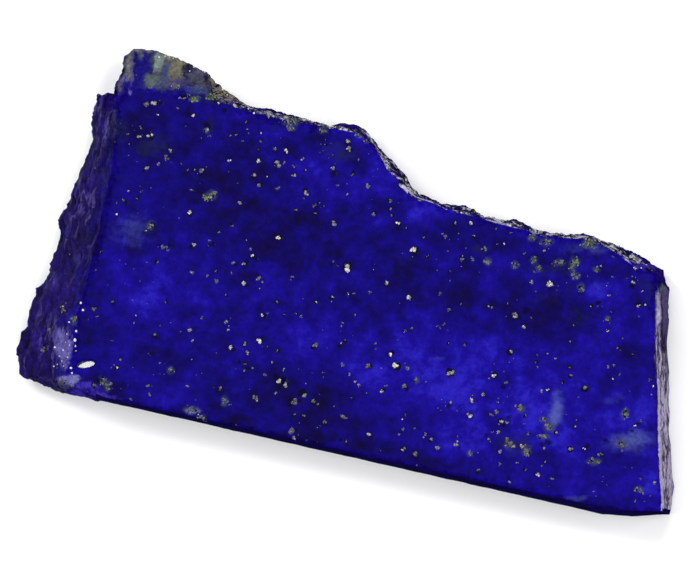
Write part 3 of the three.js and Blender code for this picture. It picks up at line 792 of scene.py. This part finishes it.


# Pyrite, and the small crystals painted white as glints


class Grains:
    """Crystals gathered into one mesh: irregular domes, and the flat dark beds that they lie in."""

    def __init__(self, stone, top):
        self.tree = BVHTree.FromObject(stone, bpy.context.evaluated_depsgraph_get())
        self.top = top
        self.rng = random.Random(SEED)
        self.verts, self.faces, self.tones = [], [], []

    def ground(self, x, y):
        """The height of the stone's upper side at a place in plan, or None beside the stone."""
        hit = self.tree.ray_cast(Vector((x, y, self.top + 1)) * MM, Vector((0, 0, -1)))[0]
        return hit.z / MM if hit else None

    def add(self, middle, radius, tone, lift, sink=0.06):
        """One lump: a foot sunk in the stone, an edge at its surface, a shoulder and a peak. Foot and edge
        are painted shade.
        """
        height = self.ground(middle.x, middle.y)
        if height is None:
            return
        rng = self.rng
        sides = rng.randint(5, 8)
        turn = rng.uniform(0, math.pi)
        squash = rng.uniform(0.6, 1.0)
        lobes = [rng.uniform(0.7, 1.25) for _ in range(sides)]
        first = len(self.verts)
        shoulder = rng.uniform(0.5, 0.8)
        for share, rise, jitter in ((1.0, -sink, 0), (1.0, 0.0005, 0), (shoulder, 0.6 * lift, lift)):
            # The foot and edge rings get 0.7 of the tone: painted shade round the lump's edge, below its
            # top.
            shade = 1 if jitter else 0.7
            for k, lobe in enumerate(lobes):
                angle = 2 * math.pi * (k + rng.uniform(-0.2, 0.2)) / sides
                reach = radius * share * lobe
                x, y = reach * math.cos(angle), reach * math.sin(angle) * squash
                self.verts.append((
                    middle.x + x * math.cos(turn) - y * math.sin(turn),
                    middle.y + x * math.sin(turn) + y * math.cos(turn),
                    height + rise + rng.uniform(-0.4, 0.4) * jitter,
                ))
                self.tones.append(self.varied(tone, 0.75, 1.2, shade))
        peak = (middle.x + rng.uniform(-0.3, 0.3) * radius, middle.y + rng.uniform(-0.3, 0.3) * radius)
        self.verts.append((*peak, height + lift))
        self.tones.append(self.varied(tone, 0.7, 1.4))
        self.close(first, sides, 3)

    def varied(self, tone, low, high, shade=1):
        """A tone a little brighter or darker, or as it is where it is a kind of its own."""
        if tone > PLAIN_TONES_END:
            return tone
        return tone * self.rng.uniform(low, high) * shade

    def close(self, first, sides, rings):
        """The faces of one lump: bands between its rings, a fan on top and a lid below."""
        top = first + rings * sides
        for k in range(sides):
            after = (k + 1) % sides
            for ring in range(rings - 1):
                a, b = first + ring * sides + k, first + ring * sides + after
                self.faces.extend([(a, b, b + sides), (a, b + sides, a + sides)])
            self.faces.append((top - sides + k, top - sides + after, top))
        self.faces.append(tuple(reversed(range(first, first + sides))))

    def cluster(self, middle, radius, tone, bed):
        """One grain of the photograph: its dark bed, and the few crystals that it is made of."""
        rng = self.rng
        if rng.random() < 0.4:
            shift = Vector((rng.uniform(-1, 1), rng.uniform(-1, 1))) * 0.5 * radius
            self.add(middle + shift, radius + bed * rng.uniform(0.2, 1.2), DARK_TONE, 0.001)
        lobes = 1
        if radius >= 0.11:
            lobes = rng.randint(3, 6)
        elif radius >= 0.06:
            lobes = rng.randint(2, 3)
        for lobe in range(lobes):
            size = radius if lobes == 1 else radius * rng.uniform(0.38, 0.62)
            angle = rng.uniform(0, 2 * math.pi)
            step = 0 if lobes == 1 else (radius - size) * rng.uniform(0.5, 1.25)
            at = middle + Vector((math.cos(angle), math.sin(angle))) * step
            self.add(at, size, tone * rng.uniform(0.65, 1.15), min(0.03, 0.35 * size))

    def patch(self, mark, shiny):
        """A patch of fine crystals, thick in the middle and loose at its edge."""
        u, v, half_width, half_height = mark
        rng = self.rng
        for _ in range(int(0.38 * half_width * half_height) + 4):
            at = face_point(u + rng.gauss(0, 0.42) * half_width, v + rng.gauss(0, 0.42) * half_height)
            radius = rng.uniform(0.03, 0.085)
            tone = rng.choice((DARK_TONE, 0.35, shiny, shiny, shiny))
            self.add(at, radius, tone, 0.001 if tone < 0 else 0.3 * radius)

    def mesh(self, name):
        """All the crystals as one object, with each point's tone as an attribute."""
        mesh = bpy.data.meshes.new(name)
        mesh.from_pydata([Vector(v) * MM for v in self.verts], [], self.faces)
        mesh.attributes.new("tone", "FLOAT", "POINT").data.foreach_set("value", self.tones)
        mesh.update()
        mesh.materials.append(pyrite_material())
        return add_object(name, mesh)


def make_grains(stone, top):
    """Every pyrite grain as one mesh: those that show in the photograph, then a scatter of small ones."""
    grains = Grains(stone, top)
    for marks, dull, shiny, bed in GRAIN_KINDS:
        for u, v, width in marks:
            tone = grains.rng.uniform(dull, shiny)
            grains.cluster(face_point(u, v), 0.52 * width / PIXELS_PER_MM, tone, bed)
    for mark in OLIVE_PATCHES:
        grains.patch(mark, OLIVE_TONE)
    for mark in GREEN_PATCHES:
        grains.patch(mark, GREEN_TONE)
    # The glints: small crystals painted white as sparkles.
    for u, v, width in GLINTS:
        radius = 0.42 * width / PIXELS_PER_MM
        grains.add(face_point(u, v), radius, GLINT_TONE, 0.7 * radius)
    scatter_small(grains)
    return grains.mesh("pyrite_grains")


def scatter_small(grains):
    """Specks in loose swarms."""
    rng = grains.rng
    for _ in range(SPECKS):
        at = Vector((rng.uniform(*SPECK_BOX[0]), rng.uniform(*SPECK_BOX[1])))
        if noise.noise(Vector((at.x * 0.5, at.y * 0.5, 3.3))) < rng.uniform(-0.35, 0.5):
            continue
        radius = rng.uniform(0.022, 0.05)
        grains.add(at, radius, rng.uniform(0.15, 0.55), 0.35 * radius)


# Materials


def linear(r, g, b, level=1.0):
    """A screen colour, 0 to 255, as linear values with an alpha, divided by a light level."""
    values = (c / 255 for c in (r, g, b))
    return *((c / 12.92 if c <= 0.04045 else ((c + 0.055) / 1.055) ** 2.4) / level for c in values), 1.0


def shown(r, g, b):
    """The colour of a surface that shows as this screen colour under these lights."""
    return linear(r, g, b, LIGHT_LEVEL)


class Nodes:
    """A short way to write a material's nodes."""

    def __init__(self, name):
        self.material = bpy.data.materials.new(name)
        self.material.use_nodes = True
        self.tree = self.material.node_tree
        self.shader = self.tree.nodes["Principled BSDF"]
        self.place = self.tree.nodes.new("ShaderNodeTexCoord").outputs["Object"]

    def feed(self, socket, value):
        """Links a socket to another one's output, or sets its own value."""
        if isinstance(value, bpy.types.NodeSocket):
            self.tree.links.new(value, socket)
        elif value is not None:
            socket.default_value = value

    def shade(self, name, value):
        """Links or sets one of the shader's own sockets."""
        self.feed(self.shader.inputs[name], value)

    def bump(self, height, reach):
        """Bumps the surface by a height from 0 to 1, times a reach in mm."""
        made = self.node("ShaderNodeBump")
        made.inputs["Distance"].default_value = reach * MM
        self.feed(made.inputs["Height"], height)
        self.shade("Normal", made.outputs[0])

    def node(self, kind, **settings):
        made = self.tree.nodes.new(kind)
        for key, value in settings.items():
            setattr(made, key, value)
        return made

    def math(self, operation, *values):
        made = self.node("ShaderNodeMath", operation=operation)
        for socket, value in zip(made.inputs, values):
            self.feed(socket, value)
        return made.outputs[0]

    def total(self, *parts):
        """The sum of several values, each times its share."""
        scaled = [self.math("MULTIPLY", value, share) for value, share in parts]
        value = scaled[0]
        for more in scaled[1:]:
            value = self.math("ADD", value, more)
        return value

    def weight(self, name):
        """One of the weights on the mesh's points."""
        return self.node("ShaderNodeAttribute", attribute_name=name).outputs["Fac"]

    def noise(self, per_mm, detail=3, roughness=0.55, stretch=None, distortion=0.0):
        """Noise from 0 to 1 with about this many features to a millimetre."""
        made = self.node("ShaderNodeTexNoise")
        self.feed(made.inputs["Vector"], self.scaled(stretch))
        for name, value in (
            ("Scale", per_mm / MM), ("Detail", detail), ("Roughness", roughness), ("Distortion", distortion),
        ):
            made.inputs[name].default_value = value
        return made.outputs["Fac"]

    def cells(self, per_mm):
        """Small cells, each with a shade of its own."""
        made = self.node("ShaderNodeTexVoronoi")
        self.feed(made.inputs["Vector"], self.place)
        made.inputs["Scale"].default_value = per_mm / MM
        return made.outputs["Color"]

    def scaled(self, stretch):
        """The place on the object, times a scale for each axis."""
        if stretch is None:
            return self.place
        made = self.node("ShaderNodeMapping")
        self.feed(made.inputs["Vector"], self.place)
        made.inputs["Scale"].default_value = stretch
        return made.outputs["Vector"]

    def between(self, value, low, high, to_low=0.0, to_high=1.0):
        """A smooth rise from one number to another while the value goes from low to high."""
        made = self.node("ShaderNodeMapRange", interpolation_type="SMOOTHSTEP")
        for socket, number in zip(made.inputs[:5], (value, low, high, to_low, to_high)):
            self.feed(socket, number)
        return made.outputs[0]

    def ramp(self, value, stops):
        """Colours by a value, as stops of position and colour."""
        made = self.node("ShaderNodeValToRGB")
        self.feed(made.inputs[0], value)
        elements = made.color_ramp.elements
        while len(elements) < len(stops):
            elements.new(0.5)
        for element, (position, colour) in zip(elements, stops):
            element.position, element.color = position, colour
        return made.outputs[0]

    def mix(self, factor, a, b, blend="MIX"):
        made = self.node("ShaderNodeMix", data_type="RGBA", blend_type=blend)
        self.feed(made.inputs[0], factor)
        self.feed(made.inputs[6], a)
        self.feed(made.inputs[7], b)
        return made.outputs[2]


def lapis_blue(n):
    """The polished face's blues: soft clouds, broken by grains a few tenths of a millimetre across."""
    clouds = n.noise(0.28, detail=5, roughness=0.6, distortion=0.3)
    blots = n.noise(1.5, detail=4, roughness=0.6)
    flecks = n.noise(7.0, detail=2, roughness=0.7)
    grains = n.cells(5.5)
    # The dark weight darkens the blue for dark zones and for painted shade.
    pale, dark_and_shade = n.weight("pale"), n.weight("dark_and_shade")
    value = n.total((clouds, 0.6), (blots, 0.57), (grains, 0.05), (flecks, 0.1), (pale, 0.2), (dark_and_shade, -0.2))
    return n.ramp(value, [
        (0.4, shown(14, 7, 60)),
        (0.52, shown(16, 7, 88)),
        (0.64, shown(20, 9, 119)),
        (0.76, shown(27, 13, 150)),
        (0.92, shown(44, 34, 190)),
    ])


def marked(n, colour, name, tint, strength, grain, low, high, stretch=None):
    """Lays one kind of mark over a colour. Noise with grain features to a millimetre breaks it up, and
    its tint starts at the weight low and is full at the weight high."""
    broken = n.math("MULTIPLY", n.noise(grain, detail=5, roughness=0.68, stretch=stretch), 2.0)
    factor = n.between(n.math("MULTIPLY", n.weight(name), broken), low, high, 0.0, strength)
    return n.mix(factor, colour, tint)


def clouded_blue(n):
    """The blue with its slate, white, grey and olive clouds, and dark beds and pits round the grains, the
    pits painted black as shade.
    """
    colour = lapis_blue(n)
    for name, tint, strength, grain, low, high in (
        ("slate", shown(30, 32, 76), 0.75, 2.5, 0.35, 1.0),
        ("white", shown(88, 96, 174), 0.8, 3.0, 0.15, 1.1),
        ("olive", shown(64, 70, 92), 0.85, 5.0, 0.25, 1.0),
        ("green", shown(68, 80, 82), 0.85, 6.0, 0.3, 0.9),
        ("stonegrey", shown(132, 128, 196), 0.85, 6.0, 0.4, 0.9),
        ("bed", shown(14, 8, 56), 0.8, 8.0, 0.2, 1.1),
        # The pits are painted near-black: shade in their hollows.
        ("pit", shown(10, 6, 40), 0.95, 8.0, 0.15, 1.15),
    ):
        colour = marked(n, colour, name, tint, strength, grain, low, high)
    return colour


def violet_cast(n, colour):
    """The violet tinge along the rim, on the face and on the fracture beside it."""
    return marked(n, colour, "violet", shown(66, 49, 178), 0.88, 5.0, 0.2, 1.2)


def polished_material():
    """The ground and polished face: glossy, with a slightly uneven polish and a chip painted grey to tint
    the highlight in it.
    """
    n = Nodes("polished_lapis")
    colour = violet_cast(n, clouded_blue(n))
    # The chip's grey is painted to tint the key light's highlight in it.
    n.shade("Base Color", n.mix(n.weight("chip"), colour, shown(60, 66, 62)))
    n.shade("Roughness", n.between(n.noise(2.0, detail=4), 0.3, 0.7, 0.09, 0.16))
    n.shade("Specular IOR Level", 0.5)
    return n.material


def thin_lines(n, per_mm, stretch, width, detail=4):
    """Thin wavy lines: the places where a stretched noise crosses its middle value."""
    crossing = n.math("SUBTRACT", n.noise(per_mm, detail=detail, stretch=stretch), 0.5)
    return n.between(n.math("ABSOLUTE", crossing), width, 0.25 * width)


def lined(n, colour, name, lines, tint, strength=1.0):
    """Lays thin lines over a colour where one kind of mark is."""
    where = n.between(n.weight(name), 0.2, 0.55, 0.0, strength)
    return n.mix(n.math("MULTIPLY", lines, where), colour, tint)


def fracture_colour(n):
    """The broken stone: violet blue, mottled darker, with painted highlights: ridge tops paler by their
    crest, and pale streaks along its grain.
    """
    mottle = n.noise(1.3, detail=5, roughness=0.65)
    grain = n.noise(1.6, detail=4, roughness=0.6, stretch=(1.6, 0.5, 1.6))
    # The crest weight paints the ridge tops lighter, as highlights.
    value = n.total((mottle, 0.55), (grain, 0.45), (n.weight("crest"), 0.09))
    colour = n.ramp(value, [
        (0.36, shown(18, 9, 54)),
        (0.48, shown(25, 12, 82)),
        (0.6, shown(35, 18, 112)),
        (0.74, shown(50, 32, 142)),
        (0.9, shown(92, 80, 172)),
    ])
    # Pale streaks, painted as highlights on the fracture.
    painted_highlight_streaks = thin_lines(n, 0.8, (1.8, 0.4, 1.8), 0.045, detail=3)
    patches = n.between(n.noise(0.5, detail=3), 0.46, 0.64, 0.0, 0.6)
    return n.mix(n.math("MULTIPLY", painted_highlight_streaks, patches), colour, shown(90, 78, 150))


def crust_and_glint_colour(n):
    """The thin crust on the outside of the rough: grey flakes over blue with black cracks, and white flakes
    that are painted glints.
    """
    flakes = n.noise(1.3, detail=5, roughness=0.66, stretch=(1.0, 1.0, 1.4))
    colour = n.ramp(flakes, [
        (0.37, shown(34, 22, 110)),
        (0.44, shown(18, 12, 50)),
        (0.49, shown(87, 83, 114)),
        (0.56, shown(212, 212, 222)),
        (0.63, shown(118, 114, 136)),
        (0.74, shown(34, 26, 80)),
    ])
    return n.mix(thin_lines(n, 1.2, (1.0, 1.0, 1.3), 0.05), colour, linear(12, 9, 32))


def horn_colour(n, colour):
    """The matrix horn over the stone's own colour: soft bands and patches, one kind of mark each."""
    for name, tint in (
        ("matrix", shown(80, 82, 94)), ("hornblue", shown(30, 24, 120)), ("ash", shown(112, 114, 114)),
        ("tan", shown(118, 116, 98)), ("olivebed", shown(92, 104, 102)), ("teal", shown(132, 146, 142)),
        ("azure", shown(58, 76, 120)), ("purple", shown(92, 82, 130)), ("navy", shown(24, 18, 54)),
        ("rind", shown(134, 128, 118)),
    ):
        colour = marked(n, colour, name, tint, 0.95, 8.0, 0.15, 1.1)
    return lined(n, colour, "cracked", thin_lines(n, 1.6, (1.0, 1.0, 1.0), 0.045), linear(12, 10, 24))


def edge_colour(n, colour):
    """The right end's painted reflection, pale and dim, with its veins; the crust with its painted glints;
    and the thin painted highlight on the rim.
    """
    # Painted reflection on the sawn right end: a dim band and a pale band.
    colour = marked(n, colour, "painted_dim_end_reflection", shown(88, 78, 116), 0.9, 3.0, 0.25, 0.8)
    colour = marked(n, colour, "painted_end_reflection", shown(190, 179, 208), 0.95, 2.0, 0.2, 0.9)
    colour = lined(n, colour, "veined", thin_lines(n, 0.6, (1.0, 0.8, 0.9), 0.06), shown(40, 28, 72), 0.7)
    colour = lined(n, colour, "veined", thin_lines(n, 1.2, (1.0, 0.45, 1.0), 0.04), shown(28, 20, 46), 0.9)
    # The crust with its painted glints, in patches.
    patchy = n.math("MULTIPLY", n.weight("crust_and_glints"), n.math("MULTIPLY", n.noise(1.2, detail=4), 2.0))
    colour = n.mix(n.between(patchy, 0.35, 0.5), colour, crust_and_glint_colour(n))
    # The painted highlight along the rim.
    patchy = n.math("MULTIPLY", n.weight("painted_rim_highlight"), n.noise(1.6, detail=5, roughness=0.7))
    return n.mix(n.between(patchy, 0.3, 0.42, 0.0, 0.85), colour, shown(190, 186, 216))


def broken_material(name, specular):
    """A broken side: duller than the face, with the horn, the crust with its painted glints, and pale
    streaks painted as highlights.
    """
    n = Nodes(name)
    colour = n.mix(n.weight("blue"), fracture_colour(n), clouded_blue(n))
    colour = marked(n, colour, "lilac", shown(116, 106, 184), 0.85, 5.0, 0.45, 0.95, (1.3, 0.7, 1.3))
    colour = marked(n, colour, "green", shown(70, 88, 62), 0.85, 6.0, 0.3, 0.9)
    colour = violet_cast(n, colour)
    colour = edge_colour(n, horn_colour(n, colour))
    grime = n.between(n.noise(5.0, detail=5, roughness=0.7), 0.3, 0.7, 0.65, 1.32)
    n.shade("Base Color", n.mix(1.0, colour, grime, "MULTIPLY"))
    n.shade("Roughness", n.between(n.noise(3.0, detail=4), 0.3, 0.7, 0.32, 0.5))
    n.shade("Specular IOR Level", specular)
    n.bump(n.noise(4.0, detail=6, roughness=0.7), 0.06)
    return n.material


def sawn_material():
    """The sawn edge and back: dark, even and matt, with fine marks that the blade left across them."""
    n = Nodes("sawn_lapis")
    blade = n.noise(5.0, detail=2, stretch=(0.15, 1.0, 3.0))
    mottle = n.noise(0.9, detail=5, roughness=0.6)
    value = n.total((mottle, 0.7), (blade, 0.3))
    blues = [(0.35, shown(13, 8, 40)), (0.55, shown(20, 12, 76)), (0.75, shown(34, 26, 112))]
    n.shade("Base Color", n.ramp(value, blues))
    n.shade("Roughness", n.between(mottle, 0.3, 0.7, 0.5, 0.7))
    n.shade("Specular IOR Level", 0.0)
    n.bump(blade, 0.01)
    return n.material


def pyrite_material():
    """The crystals by tone: dark beds, dull to bright grains and white glints, then green and olive ones."""
    n = Nodes("pyrite")
    kind = n.weight("tone")
    speckle = n.noise(14.0, detail=2)
    tone = n.math("ADD", kind, n.math("MULTIPLY", n.math("SUBTRACT", speckle, 0.5), 0.4))
    colour = n.ramp(n.between(tone, -0.2, 1.4), [
        (0.0, linear(9, 7, 36)),
        (0.2, shown(52, 51, 78)),
        (0.42, shown(108, 108, 114)),
        (0.62, shown(162, 161, 150)),
        (0.95, shown(236, 235, 230)),
    ])
    green = n.ramp(speckle, [(0.35, shown(56, 72, 46)), (0.65, shown(120, 138, 66))])
    olive = n.ramp(speckle, [(0.35, shown(50, 54, 60)), (0.65, shown(110, 114, 92))])
    colour = n.mix(n.between(kind, 4.2, 4.8), colour, green)
    n.shade("Base Color", n.mix(n.between(kind, 6.0, 6.5), colour, olive))
    metal = n.math("MULTIPLY", n.between(kind, 0.1, 0.4), n.between(kind, 2.0, 1.6))
    n.shade("Metallic", n.math("MULTIPLY", metal, 0.25))
    n.shade("Roughness", n.between(kind, 0.0, 0.3, 0.12, 0.34))
    return n.material


# Floor and light


def make_floor():
    """A wide pale floor just below the stone."""
    mesh = bpy.data.meshes.new("floor")
    half, low = FLOOR_HALF * MM, -FLOOR_DROP * MM
    corners = [(-half, -half, low), (half, -half, low), (half, half, low), (-half, half, low)]
    mesh.from_pydata(corners, [], [(0, 1, 2, 3)])
    floor = add_object("floor", mesh)
    n = Nodes("floor")
    whites = [(0.3, linear(243, 243, 243)), (0.7, linear(247, 247, 247))]
    n.shade("Base Color", n.ramp(n.noise(0.02), whites))
    n.shade("Roughness", 0.9)
    n.shade("Specular IOR Level", 0.1)
    mesh.materials.append(n.material)


def add_light(name, azimuth, elevation, distance, size, power):
    """A square soft light that faces the stone."""
    data = bpy.data.lights.new(name, "AREA")
    data.shape, data.size, data.energy = "SQUARE", size, power
    light = add_object(name, data)
    away = direction(azimuth, elevation)
    light.location = away * distance
    light.rotation_mode = "QUATERNION"
    light.rotation_quaternion = away.to_track_quat("Z", "Y")


def light_scene():
    """Soft lights low on every side, a smaller key light, and a sky that is dark overhead."""
    for name, light in LIGHTS.items():
        add_light(name, *light)
    world = bpy.data.worlds.new("studio")
    bpy.context.scene.world = world
    world.use_nodes = True
    world.node_tree.nodes["Background"].inputs["Color"].default_value = SKY
    bpy.context.scene.view_settings.view_transform = "Standard"


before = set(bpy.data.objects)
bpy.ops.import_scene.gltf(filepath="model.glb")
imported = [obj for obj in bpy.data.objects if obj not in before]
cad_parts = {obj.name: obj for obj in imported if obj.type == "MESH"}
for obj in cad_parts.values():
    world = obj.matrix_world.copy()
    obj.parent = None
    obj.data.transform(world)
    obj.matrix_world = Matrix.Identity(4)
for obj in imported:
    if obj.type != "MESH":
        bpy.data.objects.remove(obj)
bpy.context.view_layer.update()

make_camera()
light_scene()
make_floor()

stone, face_height = make_stone(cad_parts["lapis_slice"])
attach(stone, "root")
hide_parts("lapis_slice")

grains = make_grains(stone, face_height)
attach(grains, "root")
